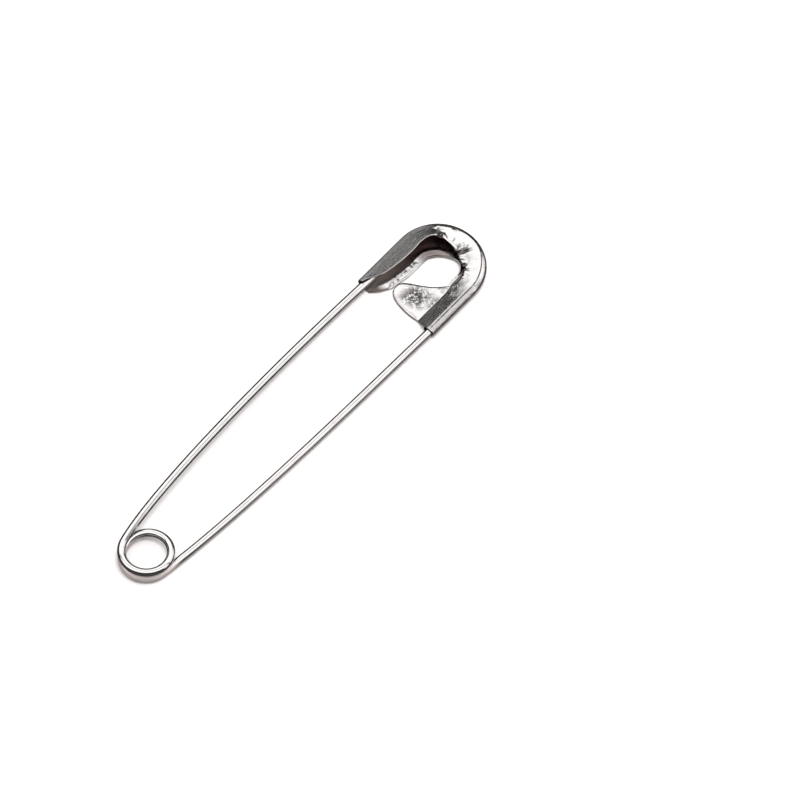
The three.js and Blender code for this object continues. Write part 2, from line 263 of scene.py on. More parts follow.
def feed(tree, socket, value):
    """Link a socket to another one, or give it a plain value."""
    if isinstance(value, bpy.types.NodeSocket):
        tree.links.new(value, socket)
    else:
        socket.default_value = value


def new_node(tree, kind, inputs=None, **settings):
    """A node with its settings, and its inputs by name or number, each a socket or a plain value."""
    node = tree.nodes.new(kind)
    for name, value in settings.items():
        setattr(node, name, value)
    for name, value in (inputs or {}).items():
        feed(tree, node.inputs[name], value)
    return node


def set_out(tree):
    """Set a tree's nodes out in columns, each to the left of those that it feeds."""
    column = {node.name: 0 for node in tree.nodes}
    changed = True
    while changed:
        changed = False
        for link in tree.links:
            least = column[link.to_node.name] + 1
            if column[link.from_node.name] < least:
                column[link.from_node.name] = least
                changed = True
    filled = {}
    for node in tree.nodes:
        at = column[node.name]
        node.location = (-220 * at, -260 * filled.get(at, 0))
        filled[at] = filled.get(at, 0) + 1


def new_group(name, kind, takes, gives):
    """A node group with named inputs and outputs, and the sockets that hold what it is given."""
    tree = bpy.data.node_groups.new(name, kind)
    for label, socket_kind, *value in takes:
        socket = tree.interface.new_socket(label, in_out="INPUT", socket_type="NodeSocket" + socket_kind)
        if value:
            socket.default_value = value[0]
    for label, socket_kind in gives:
        tree.interface.new_socket(label, in_out="OUTPUT", socket_type="NodeSocket" + socket_kind)
    return tree, new_node(tree, "NodeGroupInput").outputs


def end_group(tree, results):
    new_node(tree, "NodeGroupOutput", results)
    set_out(tree)
    return tree


def grouped(tree, group, inputs):
    return new_node(tree, "ShaderNodeGroup", inputs, node_tree=group).outputs


def math_node(tree, operation, *values):
    return new_node(tree, "ShaderNodeMath", dict(enumerate(values)), operation=operation).outputs[0]


def product(tree, first, *others):
    for other in others:
        first = math_node(tree, "MULTIPLY", first, other)
    return first


def total(tree, first, *others):
    for other in others:
        first = math_node(tree, "ADD", first, other)
    return first


def vector_node(tree, operation, *values):
    node = new_node(tree, "ShaderNodeVectorMath", dict(enumerate(values)), operation=operation)
    return node.outputs["Value" if operation in ("DOT_PRODUCT", "LENGTH") else "Vector"]


def separated(tree, vector):
    parts = new_node(tree, "ShaderNodeSeparateXYZ", {0: vector}).outputs
    return parts["X"], parts["Y"], parts["Z"]


def eased(tree, value, low, high, to_low=0.0, to_high=1.0, kind="SMOOTHSTEP"):
    """One range of a value turned into another, with soft ends unless its kind is LINEAR."""
    inputs = {"Value": value, "From Min": low, "From Max": high, "To Min": to_low, "To Max": to_high}
    return new_node(tree, "ShaderNodeMapRange", inputs, interpolation_type=kind).outputs[0]


def faded(tree, value, low, high):
    """1 below a range of a value and 0 above it, with soft ends."""
    return eased(tree, value, low, high, 1.0, 0.0)


def mixed(tree, factor, a, b, kind="RGBA"):
    """A mix of two colours, or of two numbers if its kind is FLOAT."""
    inputs = {"Factor": factor, "A": a, "B": b}
    return new_node(tree, "ShaderNodeMix", inputs, data_type=kind).outputs["Result"]


def noise(tree, vector, scale, detail, roughness=0.5):
    inputs = {"Vector": vector, "Scale": scale, "Detail": detail, "Roughness": roughness}
    return new_node(tree, "ShaderNodeTexNoise", inputs).outputs[0]


def bumped(tree, height, strength, distance):
    inputs = {"Strength": strength, "Distance": distance, "Height": height}
    return new_node(tree, "ShaderNodeBump", inputs).outputs["Normal"]


def kept(tree, geometry, name, kind, value):
    """A value kept on the points of a curve, for use after the sweep."""
    node = new_node(tree, "GeometryNodeCaptureAttribute", {"Geometry": geometry})
    node.capture_items.new(kind, name)
    feed(tree, node.inputs[name], value)
    return node.outputs["Geometry"], node.outputs[name]


def placed(name, data):
    """An object in the scene's collection, at the origin."""
    thing = bpy.data.objects.new(name, data)
    bpy.context.collection.objects.link(thing)
    return thing


# The wire

def wire_sweep_tree():
    """Geometry nodes that draw a round wire along a line of points, with its wall marked as if straight."""
    tree, given = new_group("Draw wire along line", "GeometryNodeTree", [
        ("Line", "Geometry"),
        ("Wire radius", "Float", WIRE_RADIUS * MM),
        ("Sides", "Int", WIRE_SIDES),
        ("Length before start", "Float", 0.0),
        ("Finish", "Material"),
    ], [("Wire", "Geometry")])
    curve = new_node(tree, "GeometryNodeMeshToCurve", {"Mesh": given["Line"]}).outputs["Curve"]
    length = new_node(tree, "GeometryNodeSplineParameter").outputs["Length"]
    curve, length = kept(tree, curve, "length along", "FLOAT", length)
    ring = new_node(tree, "GeometryNodeCurvePrimitiveCircle", {
        "Resolution": given["Sides"], "Radius": given["Wire radius"]}).outputs["Curve"]
    place = new_node(tree, "GeometryNodeInputPosition").outputs["Position"]
    ring, place = kept(tree, ring, "round", "VECTOR", place)
    fullness = new_node(tree, "GeometryNodeInputNamedAttribute", {"Name": "fullness"}, data_type="FLOAT")
    wall = new_node(tree, "GeometryNodeCurveToMesh", {
        "Curve": curve, "Profile Curve": ring, "Scale": fullness.outputs["Attribute"], "Fill Caps": True})
    x, y, _ = separated(tree, place)
    straight = new_node(tree, "ShaderNodeCombineXYZ", {
        "X": x, "Y": y, "Z": total(tree, length, given["Length before start"])})
    mark = new_node(tree, "GeometryNodeStoreNamedAttribute", {
        "Name": "straight_wire", "Geometry": wall.outputs["Mesh"], "Value": straight.outputs[0],
    }, data_type="FLOAT_VECTOR", domain="POINT")
    real = new_node(tree, "GeometryNodeRealizeInstances", {"Geometry": mark.outputs["Geometry"]})
    finish = new_node(tree, "GeometryNodeSetMaterial", {
        "Geometry": real.outputs["Geometry"], "Material": given["Finish"]})
    return end_group(tree, {"Wire": finish.outputs["Geometry"]})


def swept_wire(name, tree, line, finish, fullness=None, length_before=0.0):
    """One stretch of wire as a plain closed mesh, swept along a line by the node tree."""
    line = in_row_frame(line)
    edges = [(i, i + 1) for i in range(len(line) - 1)]
    path = bpy.data.meshes.new(name + "_line")
    path.from_pydata([tuple(p) for p in line], edges, [])
    full = path.attributes.new("fullness", "FLOAT", "POINT")
    full.data.foreach_set("value", np.ones(len(line)) if fullness is None else fullness)
    carrier = placed(name + "_line", path)
    modifier = carrier.modifiers.new("wire", "NODES")
    modifier.node_group = tree
    sockets = {item.name: item.identifier for item in tree.interface.items_tree if item.in_out == "INPUT"}
    modifier[sockets["Length before start"]] = length_before * MM
    modifier[sockets["Finish"]] = finish
    graph = bpy.context.evaluated_depsgraph_get()
    mesh = bpy.data.meshes.new_from_object(carrier.evaluated_get(graph), depsgraph=graph)
    mesh.name = name
    bpy.data.objects.remove(carrier)
    for polygon in mesh.polygons:
        polygon.use_smooth = len(polygon.vertices) == 4
    return placed(name, mesh)


# The cap

def fold_at(way):
    return HOOK_FOLD + (CRIMP_FOLD - HOOK_FOLD) * smoothstep(way, *FOLD_CHANGE_WAYS)


def rolled(gap, drop, length):
    """How far an edge is rolled down, at each distance from it."""
    return drop * np.clip(1 - gap / length, 0, 1) ** 2


def front_leaf(way):
    """Outer face of the front leaf in section at one way, as reach, height and cut-back."""
    fold = float(fold_at(way))
    slope = math.radians(float(smooth_along(FRONT_SLOPE_DEGREES, way)))
    edge = float(smooth_along(FRONT_REACH_SHARES, way)) * HEAD_RADIUS
    turn = math.pi / 2 - slope
    shoulder = (fold * (1 - math.cos(turn)), fold * (1 + math.sin(turn)))
    curl = EDGE_CURL_DROP * float(smooth_along(EDGE_CURL_SHARES, way))
    section = []
    for i in range(FRONT_LEAF_ROWS):
        share = 1 - (i / FRONT_LEAF_ROWS) ** FRONT_ROW_POWER
        reach = shoulder[0] + (edge - shoulder[0]) * share
        height = shoulder[1] + (reach - shoulder[0]) * math.tan(slope)
        height -= rolled(edge - reach, curl, EDGE_CURL_LENGTH)
        height -= rolled(edge - reach, EDGE_ROLL_DROP, EDGE_ROLL_LENGTH)
        section.append((reach, height, CRIMP_SLANT * share))
    for i in range(FRONT_FOLD_ROWS):
        a = turn * (1 - i / FRONT_FOLD_ROWS)
        section.append((fold * (1 - math.cos(a)), fold * (1 + math.sin(a)), 0.0))
    return section


def back_leaf(way):
    """Outer face of the back leaf, from the outside of the fold over its raised bead to its rim."""
    fold = float(fold_at(way))
    edge = float(smooth_along(BACK_REACH_SHARES, way)) * HEAD_RADIUS
    lip = math.sin(math.radians(float(smooth_along(LIP_DEGREES, way)))) * LIP_LENGTH
    bead = float(smooth_along(BEAD_SHARES, way))
    section = []
    for i in range(BACK_FOLD_ROWS):
        a = (math.pi / 2) * i / BACK_FOLD_ROWS
        section.append((fold * (1 - math.cos(a)), fold * (1 - math.sin(a)), 0.0))
    start = max(edge - BEAD_FOOT, fold + (edge - fold) * BEAD_START_SHARE)
    for i in range(BACK_LEAF_ROWS):
        section.append((fold + (start - fold) * i / BACK_LEAF_ROWS, 0.0, 0.0))
    for i in range(RIM_ROWS + 1):
        reach = start + (edge - start) * (i / RIM_ROWS) ** RIM_ROW_POWER
        left = edge - reach
        turned = lip * float(1 - smoothstep(left, 0.0, LIP_LENGTH * LIP_TURN_SHARE))
        rise = float(1 - smoothstep(left, BEAD_TOP, BEAD_FOOT))
        fall = BEAD_FALL * max(0.0, 1 - left / BEAD_TOP) ** BEAD_FALL_POWER
        groove = BEAD_GROOVE * math.exp(-((left - BEAD_GROOVE_IN) / BEAD_GROOVE_HALF_WIDTH) ** 2)
        section.append((reach, (1 - bead) * turned + bead * (BEAD_HEIGHT * rise - fall - groove), 0.0))
    return section


def on_cap(way, reach, height, fall):
    radius = HEAD_RADIUS - reach
    if way < 0:
        return (COIL_TO_ARCH + way * HOOK_LENGTH, radius, height)
    if way > 1:
        return (COIL_TO_ARCH - (way - 1) * (CRIMP_LENGTH - fall), -radius, height)
    turn = math.pi * way
    return (COIL_TO_ARCH + radius * math.sin(turn), radius * math.cos(turn), height)


# Dents, bulges and puckers of the pressed sheet, seen from the front. A middle u behind the arch's middle is
# negative.
FRONT_RELIEF = [
    # middle u, middle v, half-width along, half-width across, turn in degrees, height
    (5.2, 3.3, 1.1, 0.55, -60, 0.16),
    (4.3, 3.4, 0.28, 0.7, 20, -0.16),
    (4.0, 2.4, 0.22, 0.5, -25, 0.10),
    (5.9, 1.2, 1.3, 0.6, -80, 0.10),
    (4.6, -0.9, 0.3, 0.5, 35, -0.13),
    (5.0, -1.4, 0.22, 0.35, -40, 0.08),
    (4.5, -0.2, 0.22, 0.35, 70, 0.08),
    (3.2, -3.0, 1.2, 0.35, 50, -0.08),
    (6.1, 2.1, 0.35, 0.22, 10, -0.05),
    (0.8, -4.9, 0.9, 0.3, 10, -0.05),
    (-2.4, -4.6, 0.35, 0.3, 0, 0.04),
]
TONGUE_RELIEF = [
    (-6.3, -1.3, 1.15, 2.1, 4, -0.10),
    (-4.6, -2.9, 1.7, 0.28, 12, 0.10),
    (-4.4, -3.5, 1.5, 0.25, 4, -0.06),
    (-2.4, -2.4, 0.35, 0.6, 35, -0.10),
    (-1.9, -3.0, 0.3, 0.4, 20, 0.10),
    (-8.4, -1.0, 0.3, 2.6, 5, 0.07),
]


def relief(points, table):
    """Height of the dents and bulges of one table at many places."""
    u = points[:, 0] - COIL_TO_ARCH
    v = points[:, 1]
    rise = np.zeros(len(points))
    for middle_u, middle_v, wide, deep, turn, height in table:
        a = math.radians(turn)
        du = u - middle_u
        dv = v - middle_v
        x = (du * math.cos(a) + dv * math.sin(a)) / wide
        y = (-du * math.sin(a) + dv * math.cos(a)) / deep
        rise += height * np.exp(-(x * x + y * y))
    return rise


# Creases pressed into the front leaf on the arch, as groups: seed, how many, middle and spread of their
# way along the cap, middle and spread in reach, length in reach, half-width in millimetres, depth.
CREASES = [
    (2, 14, 0.297, 0.030, 2.60, 0.80, 0.70, 0.10, 0.20),
    (5, 16, 0.602, 0.045, 2.95, 0.75, 0.70, 0.10, 0.20),
    (6, 9, 0.765, 0.060, 3.40, 0.20, 0.40, 0.11, 0.17),
    (8, 5, 0.416, 0.030, 1.00, 0.25, 0.35, 0.08, 0.10),
    (9, 8, 0.400, 0.070, 2.70, 0.20, 0.40, 0.08, 0.08),
    (14, 6, 0.500, 0.050, 2.80, 0.50, 0.50, 0.09, 0.07),
    (12, 8, 0.880, 0.060, 2.90, 0.30, 0.50, 0.09, 0.07),
]


def creases(ways, reaches):
    """Depth of the creases of the arch, each a narrow valley that runs across the sheet."""
    deep = np.zeros(np.broadcast(ways, reaches).shape)
    for seed, count, way, way_spread, reach, reach_spread, long, wide, depth in CREASES:
        draw = np.random.default_rng(seed)
        for _ in range(count):
            middle_way = way + way_spread * draw.uniform(-1, 1)
            middle_reach = reach + reach_spread * draw.uniform(-1, 1)
            lean = draw.uniform(-0.5, 0.5)
            half = long * draw.uniform(0.5, 1.1)
            across = (ways - middle_way) * math.pi * (HEAD_RADIUS - middle_reach)
            y = (reaches - middle_reach) / half
            x = (across + lean * (reaches - middle_reach)) / (wide * draw.uniform(0.7, 1.4))
            deep += depth * draw.uniform(0.4, 1.0) * np.exp(-x * x - y * y)
    return deep


def small_dents(points, seed, count, box, size, depth):
    """Many small shallow dents and bumps, with their places drawn once from a fixed seed."""
    draw = np.random.default_rng(seed)
    rise = np.zeros(len(points))
    u = points[:, 0] - COIL_TO_ARCH
    v = points[:, 1]
    for _ in range(count):
        middle_u = draw.uniform(box[0], box[1])
        middle_v = draw.uniform(box[2], box[3])
        wide = draw.uniform(0.6, 1.5) * size
        deep = draw.uniform(0.6, 1.5) * size
        height = draw.uniform(-1, 1) * depth
        rise += height * np.exp(-((u - middle_u) / wide) ** 2 - ((v - middle_v) / deep) ** 2)
    return rise


def cap_ways():
    ways = [-1 + i / HOOK_COLUMNS for i in range(HOOK_COLUMNS)]
    ways += [i / ARCH_COLUMNS for i in range(ARCH_COLUMNS)]
    gap = TONGUE_NEAR_WAY - 1
    ways += [1 + gap * i / BEFORE_TONGUE_COLUMNS for i in range(BEFORE_TONGUE_COLUMNS)]
    left = 2 - TONGUE_NEAR_WAY
    ways += [TONGUE_NEAR_WAY + left * i / TONGUE_COLUMNS for i in range(TONGUE_COLUMNS + 1)]
    return ways


def normals_of(grid):
    """Unit normals of a grid of points, outward where rows run round and columns run along the sheet."""
    along_way = np.gradient(grid, axis=0)
    along_row = np.gradient(grid, axis=1)
    normal = np.cross(along_way, along_row)
    return normal / np.maximum(np.linalg.norm(normal, axis=2, keepdims=True), 1e-9)


def cap_grids():
    """Smooth outer faces of the channel and the tongue, and the column where the tongue begins."""
    channel = np.array([[on_cap(w, *p) for p in front_leaf(w) + back_leaf(w)] for w in cap_ways()])
    crease = channel[:, 0]
    first = HOOK_COLUMNS + ARCH_COLUMNS + BEFORE_TONGUE_COLUMNS
    flat = crease[-1, 2]
    tip_rims = [float(smooth_along(BACK_REACH_SHARES, -share * CRIMP_LENGTH / HOOK_LENGTH))
                for share in TONGUE_SHARES[-1][1:]]
    tip_line = HEAD_RADIUS * (1 - max(tip_rims)) - TONGUE_TIP_GAP
    root = crease[first:]
    span = np.linspace(0, 1, TONGUE_ROWS + 1)[1:]
    far, near = (-smooth_along([[row[0], row[k]] for row in TONGUE_SHARES], span) * CRIMP_LENGTH
                 for k in (1, 2))
    share = (root[:, 0] - root[0, 0]) / (root[-1, 0] - root[0, 0])
    tongue = np.zeros((len(root), TONGUE_ROWS, 3))
    for j, s in enumerate(span):
        tongue[:, j, 0] = COIL_TO_ARCH + near[j] + (far[j] - near[j]) * share
        tongue[:, j, 1] = root[:, 1] + (tip_line - root[:, 1]) * s
        fade = 1 - smoothstep(tongue[:, j, 1] - root[:, 1], 0, TONGUE_CURL)
        tongue[:, j, 2] = flat + (root[:, 2] - flat) * fade
    return channel, tongue, first


def reach_of(points):
    """How far in from the cap's outside each point lies."""
    u = np.asarray(points)[..., 0] - COIL_TO_ARCH
    v = np.asarray(points)[..., 1]
    return HEAD_RADIUS - np.where(u < 0, np.abs(v), np.hypot(u, v))


# Fields of small dents: seed, how many, limits (u from, u to, v from, v to), size and depth.
CRIMP_DENTS = (31, 70, (-2.8, 1.4, -5.6, -3.5), 0.15, 0.05)
FRONT_DENTS = (3, 70, (-3, 7, -6.5, 5), 0.4, 0.016)
BEAD_DENTS = (21, 150, (-9, 6.5, -2, 4.6), 0.2, 0.05)
TONGUE_DENTS = (11, 90, (-8.2, -4, -3.2, 1.3), 0.26, 0.03)
TORN_DENTS = (41, 300, (-8, 1, 0.5, 5.2), 0.17, 0.5)  # these move the edge of the bead's bright band

FADE_ROWS = (18, 27)  # the front leaf's dents fade out over these rows, round the fold
BULGE_WAY = 0.012  # beside each crease the sheet bulges, by a share of the crease's depth
BULGE_SHARE = 0.35
BEAD_FADE = (1.3, 2.0)  # the bead's dents fade out this far in from its rim
TONGUE_FAR_ROLL = (0.16, 0.4)  # drop and length of the roll along each edge
TONGUE_NEAR_ROLL = (0.2, 0.6)
TONGUE_SETTLE_ROWS = 5

# Where the finish changes. A patch has its share, middle u and v, half-widths, powers and lean.
MARKS = ("inside", "scuffed", "grained", "crease_and_painted_shade")
CRIMP_SCUFF = (1.0, -1.1, -4.6, 1.4, 0.8, 2, 2, 0.0)
CRIMP_GRAIN = (0.6, -0.9, -4.7, 1.7, 1.0, 2, 2, 0.0)
TONGUE_SCUFFS = [
    (1.0, -6.0, -0.8, 1.9, 2.1, 4, 4, 0.15),
    (0.85, -5.0, -3.5, 1.3, 0.36, 4, 2, 0.0),
    (0.9, -1.9, -2.6, 0.6, 0.9, 2, 2, 0.0),
]
HOOK_GRAIN_WAYS = (0.14, 0.27)
CRIMP_GRAIN_WAYS = (0.9, 1.1)
CRIMP_GRAIN_SHARE = 0.5
EDGE_BARE_ROWS = (0, 2.5)  # no grain on the very edge of the front leaf
HOOK_FOLD_ROWS = (15, 22)  # and more of it round the hook's fold
HOOK_FOLD_GRAIN = 2.2
# Painted shade in the front leaf's creases starts at this depth, and grows by this much a millimetre.
CREASE_PAINTED_SHADE_FROM = 0.03  # a crease darkens from this depth on, by this much a millimetre
CREASE_PAINTED_SHADE_RATE = 20
# Where the bead's bright band ends, and how far the painted shade on the bead reaches.
BEAD_BRIGHT_TO = (1.2, 1.5)
BEAD_DARK_TO = (1.3, 1.7)
BEAD_DARK_SHARE = 0.75
TORN_BY = (0.12, 0.3)
TORN_FROM = (0.1, 0.6)
RIM_BRIGHT_TO = (0.35, 0.55)
# Dark lines along the tongue's edges, painted shade.
TONGUE_NEAR_LINE = (0.9, 0.14, 0.2)  # share, distance from the edge and half-width of the dark line
TONGUE_FAR_LINE = (0.6, 0.0, 0.16)
TONGUE_NEAR_LINE_V = (-3.3, -2.6)


def over(grid, rise, *table):
    """Heights over a grid of points."""
    return rise(grid.reshape(-1, 3), *table).reshape(grid.shape[:2])


def patch(u, v, share, middle_u, middle_v, half_u, half_v, power_u, power_v, lean):
    x = (u - middle_u + lean * v) / half_u
    y = (v - middle_v) / half_v
    return share * np.exp(-x ** power_u - y ** power_v)


def dark_line(gap, share, distance, half_width):
    return share * np.exp(-((gap - distance) / half_width) ** 2)


def channel_marks(outer, left, torn, crease_and_painted_shade):
    """What the finish has to know on the channel's outer face (0) and inner face (1)."""
    marks = {name: np.zeros(left.shape + (2,)) for name in MARKS}
    u = outer[:, :FRONT_ROWS, 0] - COIL_TO_ARCH
    v = outer[:, :FRONT_ROWS, 1]
    row = np.arange(FRONT_ROWS)
    ways = np.array(cap_ways())[:, None]
    hook = 1 - smoothstep(ways, *HOOK_GRAIN_WAYS)
    crimp = CRIMP_GRAIN_SHARE * smoothstep(ways, *CRIMP_GRAIN_WAYS)
    marks["scuffed"][:, :FRONT_ROWS, 0] = patch(u, v, *CRIMP_SCUFF)
    grain = np.maximum(np.maximum(hook, crimp), patch(u, v, *CRIMP_GRAIN)) * smoothstep(row, *EDGE_BARE_ROWS)
    marks["grained"][:, :FRONT_ROWS, 0] = grain + HOOK_FOLD_GRAIN * hook * smoothstep(row, *HOOK_FOLD_ROWS)
    # Creases of the front leaf's outer face get painted shade by their depth.
    crease_painted_shade = CREASE_PAINTED_SHADE_RATE * (crease_and_painted_shade[:, :FRONT_ROWS] - CREASE_PAINTED_SHADE_FROM)
    marks["crease_and_painted_shade"][:, :FRONT_ROWS, 0] = np.clip(crease_painted_shade, 0, 1)

    gap = left[:, BEAD_FIRST_ROW:]
    ragged = gap + torn[:, BEAD_FIRST_ROW:]
    bead, bright, bright_rim = (smooth_along(table, cap_ways())[:, None]
                                for table in (BEAD_SHARES, BEAD_BRIGHT_SHARES, RIM_BRIGHT_SHARES))
    # Dark streaks along the ragged edge of the bead's bright band, and a dark tone beside it, are painted
    # shade on the bead's inner face.
    streaks = bright * smoothstep(ragged - gap, *TORN_BY) * smoothstep(gap, *TORN_FROM)
    dark = np.maximum(streaks, BEAD_DARK_SHARE * (1 - bright))
    marks["crease_and_painted_shade"][:, BEAD_FIRST_ROW:, 1] = bead * (1 - smoothstep(gap, *BEAD_DARK_TO)) * dark
    bright_band = bright * (1 - smoothstep(ragged, *BEAD_BRIGHT_TO))
    bright_rim = bright_rim * (1 - smoothstep(gap, *RIM_BRIGHT_TO))
    # The inner faces take the painted shade of the inside, except on the bead's bright band and rim.
    marks["inside"][..., 1] = 1.0
    marks["inside"][:, BEAD_FIRST_ROW:, 1] -= np.maximum(bright_band, bright_rim)
    return marks


def tongue_marks(outer, near_gap, far_gap):
    """What the finish has to know on the tongue's outer face (0) and inner face (1)."""
    marks = {name: np.zeros(near_gap.shape + (2,)) for name in MARKS}
    u = outer[..., 0] - COIL_TO_ARCH
    v = outer[..., 1]
    marks["inside"][..., 1] = 1.0
    marks["scuffed"][..., 0] = np.minimum(1.0, sum(patch(u, v, *scuff) for scuff in TONGUE_SCUFFS))
    # Painted shade: dark lines along the tongue's edges.
    near_line = dark_line(near_gap, *TONGUE_NEAR_LINE) * smoothstep(v, *TONGUE_NEAR_LINE_V)
    marks["crease_and_painted_shade"][..., 0] = near_line + dark_line(far_gap, *TONGUE_FAR_LINE)
    return marks


def cap_faces(columns, rows, wide, deep, first):
    """Faces of the closed sheet: the channel's two faces and edges, then the tongue's."""
    faces = []

    def sheet(side, i, j):
        return 2 * (i * rows + j) + side

    def tongue(side, i, j):
        if j < 0:
            return sheet(side, first + i, 0)
        return 2 * (columns * rows + i * deep + j) + side

    def quad(grid, *corners):
        faces.append([grid(*corner) for corner in corners])

    last = rows - 1
    for i in range(columns - 1):
        for j in range(last):
            quad(sheet, (0, i, j), (0, i + 1, j), (0, i + 1, j + 1), (0, i, j + 1))
            quad(sheet, (1, i, j), (1, i, j + 1), (1, i + 1, j + 1), (1, i + 1, j))
        quad(sheet, (0, i, last), (0, i + 1, last), (1, i + 1, last), (1, i, last))
        if i < first:
            quad(sheet, (0, i + 1, 0), (0, i, 0), (1, i, 0), (1, i + 1, 0))
    end = columns - 1
    for j in range(last):
        quad(sheet, (0, 0, j), (0, 0, j + 1), (1, 0, j + 1), (1, 0, j))
        quad(sheet, (0, end, j + 1), (0, end, j), (1, end, j), (1, end, j + 1))
    tip = deep - 1
    for i in range(wide - 1):
        for j in range(-1, tip):
            quad(tongue, (0, i, j + 1), (0, i + 1, j + 1), (0, i + 1, j), (0, i, j))
            quad(tongue, (1, i, j), (1, i + 1, j), (1, i + 1, j + 1), (1, i, j + 1))
        quad(tongue, (1, i, tip), (1, i + 1, tip), (0, i + 1, tip), (0, i, tip))
    end = wide - 1
    for j in range(-1, tip):
        quad(tongue, (0, 0, j), (1, 0, j), (1, 0, j + 1), (0, 0, j + 1))
        quad(tongue, (0, end, j + 1), (1, end, j + 1), (1, end, j), (0, end, j))
    return faces


def two_faces(smooth, outward, lift):
    """Outer and inner face of a sheet, from its smooth outer face and the height of its dents."""
    lift = lift[..., None]
    return np.stack([smooth + outward * lift, smooth - outward * (SHEET - lift)], axis=2)


def build_cap(name):
    """The cap as one closed sheet: a channel and a tongue, each with an outer and an inner face."""
    channel, tongue, first = cap_grids()
    columns, rows = channel.shape[:2]
    row = np.arange(rows)
    ways = np.array(cap_ways())[:, None]
    reaches = reach_of(channel)
    fade = 1 - smoothstep(row, *FADE_ROWS)
    crease_and_painted_shade = creases(ways, reaches) * fade
    lift = over(channel, relief, FRONT_RELIEF) * fade
    lift += BULGE_SHARE * creases(ways + BULGE_WAY, reaches) * fade - crease_and_painted_shade
    for dents in (CRIMP_DENTS, FRONT_DENTS):
        lift += over(channel, small_dents, *dents) * fade
    left = smooth_along(BACK_REACH_SHARES, cap_ways())[:, None] * HEAD_RADIUS - reaches
    bead = smooth_along(BEAD_SHARES, cap_ways())[:, None] * (1 - smoothstep(left, *BEAD_FADE))
    lift += bead * (row >= BEAD_FIRST_ROW) * over(channel, small_dents, *BEAD_DENTS)
    sheet = two_faces(channel, normals_of(channel), lift)

    tongue_out = normals_of(np.concatenate([channel[first:, :1], tongue], axis=1))[:, 1:]
    tongue_out[tongue_out[..., 2] < 0] *= -1
    far_gap = tongue[:, :, 0] - tongue[-1:, :, 0]
    near_gap = tongue[:1, :, 0] - tongue[:, :, 0]
    tongue_lift = over(tongue, relief, TONGUE_RELIEF) + over(tongue, small_dents, *TONGUE_DENTS)
    tongue_lift -= rolled(far_gap, *TONGUE_FAR_ROLL)
    tongue_lift -= rolled(near_gap, *TONGUE_NEAR_ROLL)
    tongue_lift *= smoothstep(np.arange(1, TONGUE_ROWS + 1), 0, TONGUE_SETTLE_ROWS)
    tongue_sheet = two_faces(tongue, tongue_out, tongue_lift)

    points = np.concatenate([sheet.reshape(-1, 3), tongue_sheet.reshape(-1, 3)])
    mesh = bpy.data.meshes.new(name)
    mesh.from_pydata([tuple(p) for p in in_row_frame(points)], [],
                     cap_faces(columns, rows, *tongue.shape[:2], first))
    mesh.validate()
    on_channel = channel_marks(sheet[:, :, 0], left, over(channel, small_dents, *TORN_DENTS), crease_and_painted_shade)
    on_tongue = tongue_marks(tongue_sheet[:, :, 0], near_gap, far_gap)
    for key, values in on_channel.items():
        mark = mesh.attributes.new(key, "FLOAT", "POINT")
        mark.data.foreach_set("value", np.concatenate([values.ravel(), on_tongue[key].ravel()]))
    for polygon in mesh.polygons:
        polygon.use_smooth = True
    return placed(name, mesh)


# Finishes: tones first, in linear light

PLATING_TONE = (0.665, 0.655, 0.65, 1)
WIRE_DULL_TONE = (0.62, 0.6, 0.595, 1)
# Painted light: a pale tone for the coil's lower layer, under the layer over it.
SHELTERED_PAINTED_LIGHT_TONE = (0.88, 0.8, 0.78, 1)
CAP_DULL_TONE = (0.61, 0.59, 0.585, 1)
# Painted shade: darker tones on the channel's inner faces, near black past the top of the arch.
INNER_TONE = (0.47, 0.405, 0.385, 1)
INNER_ARCH_TONE = (0.36, 0.3, 0.285, 1)
INNER_SHADED_TONE = (0.07, 0.06, 0.055, 1)
INNER_END_TONE = (0.26, 0.22, 0.21, 1)
GRAINED_DARK_TONE = (0.14, 0.133, 0.133, 1)
SCUFF_TONE = (0.07, 0.065, 0.063, 1)
PAINTED_REFLECTION_LINE_TONE = (0.07, 0.06, 0.06, 1)
# Painted shade: dark tone in the front leaf's creases, on the bead and along the tongue's edges.
PAINTED_SHADE_TONE = (0.06, 0.05, 0.05, 1)
TABLE_TONE = (0.93, 0.9, 0.897, 1)
# Painted reflection: tones of the table as the metal shows it.
TABLE_REFLECTION_TONE_CLOSE_BY = (0.5, 0.455, 0.45, 1)
TABLE_REFLECTION_TONE_FAR_OFF = (0.06, 0.056, 0.056, 1)

# Where the wire of the coil's lower layer is duller and takes a painted pale tone, in metres in the row's
# frame, and how dull
SHELTERED_UNDER_Z = (0.0011, 0.00145)
SHELTERED_OVER_Z = (0.00068, 0.00086)
SHELTERED_BEHIND_X = (-0.0335, -0.0305)
SHELTERED_ROUGHNESS = 0.4
SHELTERED_METALLIC = 0.55

# The painted line, a painted reflection, in millimetres: its reach by the crimp and on the arch, its
# half-width and its ends
LINE_REACH_BY_CRIMP = 0.86
LINE_REACH_ON_ARCH = 0.4
LINE_SHIFT_ACROSS = (-6.2, -1.0)
LINE_HALF_WIDTH = (0.07, 0.15)
LINE_OVER_HEIGHT = (1.1, 1.5)
LINE_END_ACROSS = (2.6, 3.8)
LINE_START_BEHIND = (-9.6, -8.6)

# Where the painted shade inside the channel changes, in millimetres
IN_ARCH_BEHIND = (-5.0, 1.5)
SHADED_ACROSS = (-1.2, 0.6)
INNER_END_BEHIND = (-9.0, -6.0)

